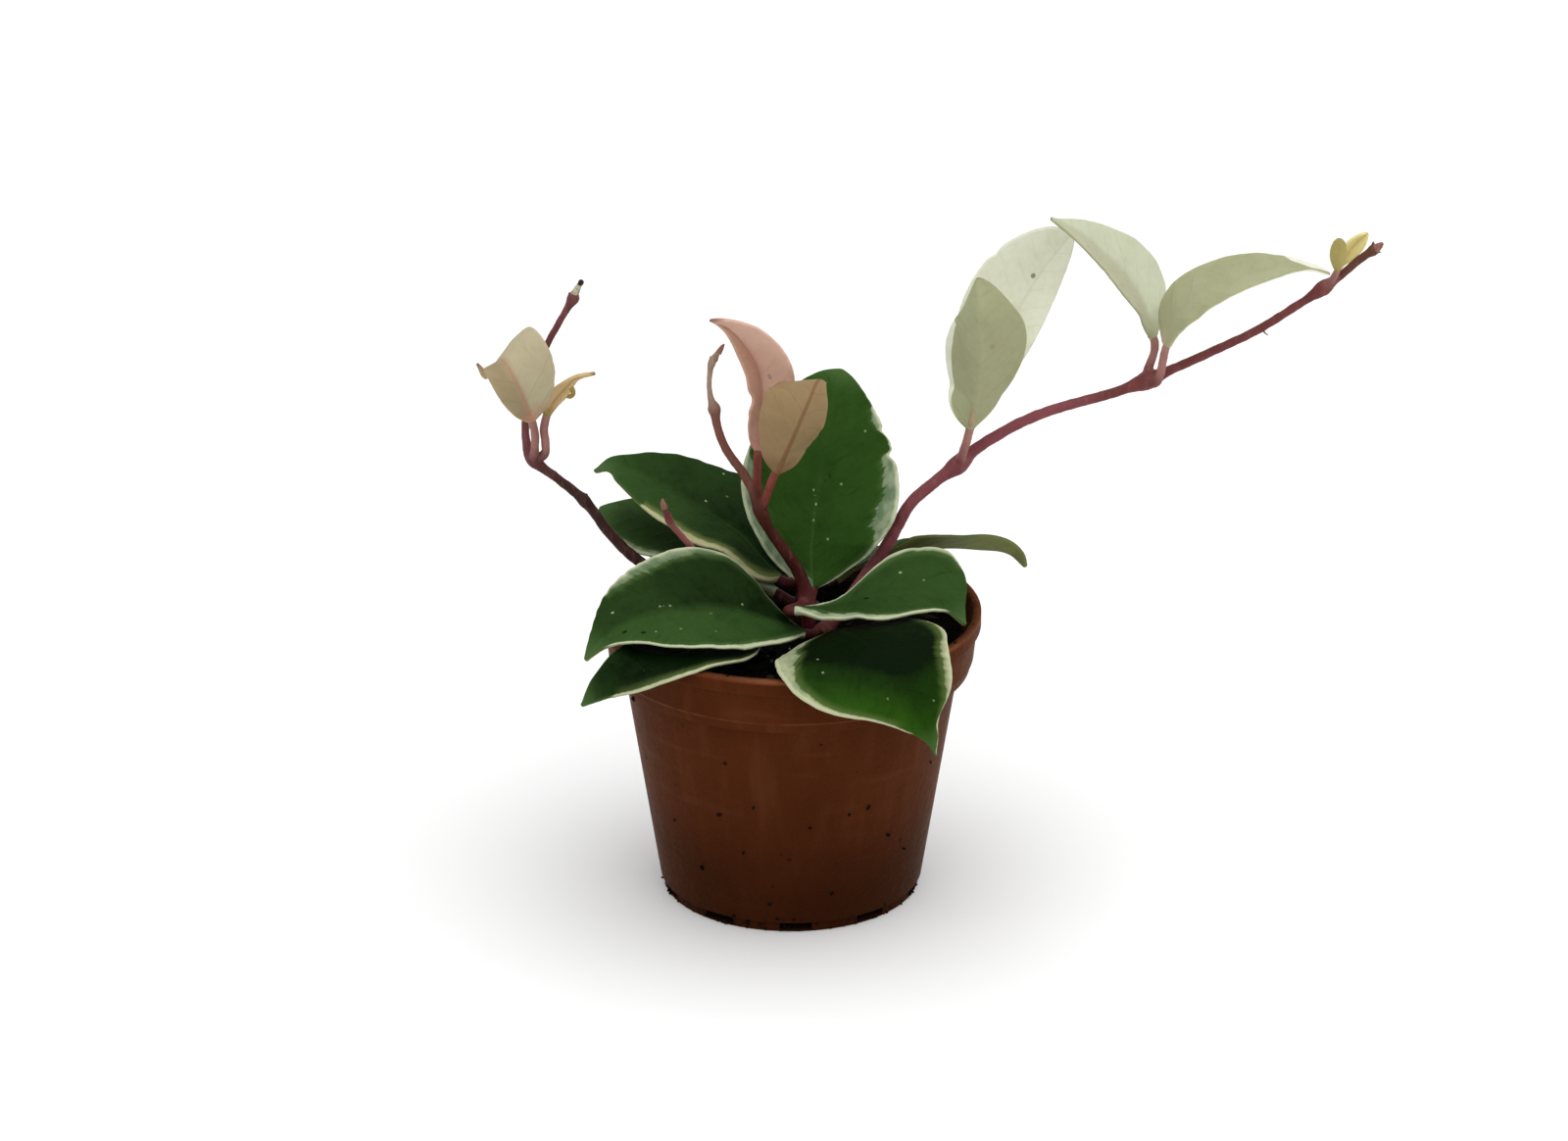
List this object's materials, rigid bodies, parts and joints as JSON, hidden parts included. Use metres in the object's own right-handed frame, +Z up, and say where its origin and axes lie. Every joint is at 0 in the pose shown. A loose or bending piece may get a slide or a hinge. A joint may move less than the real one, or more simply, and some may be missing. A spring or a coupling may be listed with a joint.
{
  "type": "potted wax plant",
  "caption": "Young climbing wax plant with thick cream-edged leaves and bare maroon vines, rooted in a round tapered plastic nursery pot with a collar and foot slots.",
  "frame": {"origin": "middle of the pot's underside, on the surface that it stands on", "axes": "+Z up; -Y the plant's front, the side seen in the picture; +X the way the long vine reaches"},
  "size_m": [0.2464, 0.1264, 0.1905],
  "materials": {
    "pot": "satin",
    "soil": "matte",
    "stem": "satin",
    "woody_stem": "satin",
    "green_leaf": "satin",
    "pale_leaf": "satin",
    "pink_leaf": "satin",
    "cream_leaf": "satin",
    "bud_leaf": "satin"
  },
  "bodies": {
    "root": {"pot": "pot", "soil": "soil", "vine_left": "woody_stem", "vine_middle": "stem", "vine_right": "stem", "vine_back": "stem", "shoot_young": "stem", "pink_leaf_back": "pink_leaf", "pink_leaf_front": "pink_leaf", "cream_leaf_broad": "cream_leaf", "cream_leaf_curled": "bud_leaf", "pale_leaf_near": "pale_leaf", "pale_leaf_far": "pale_leaf", "pale_leaf_arched": "pale_leaf", "pale_leaf_reaching": "pale_leaf", "bud_leaf_near": "bud_leaf", "bud_leaf_far": "bud_leaf", "leaf_front_left": "green_leaf", "leaf_front_left_lower": "green_leaf", "leaf_front_right": "green_leaf", "leaf_right": "green_leaf", "leaf_back_right": "green_leaf", "leaf_upright": "green_leaf", "leaf_back_left_upper": "green_leaf", "leaf_back_left_lower": "green_leaf", "leaf_back": "green_leaf", "leaf_back_left_trailing": "green_leaf"}
  },
  "joints": []
}
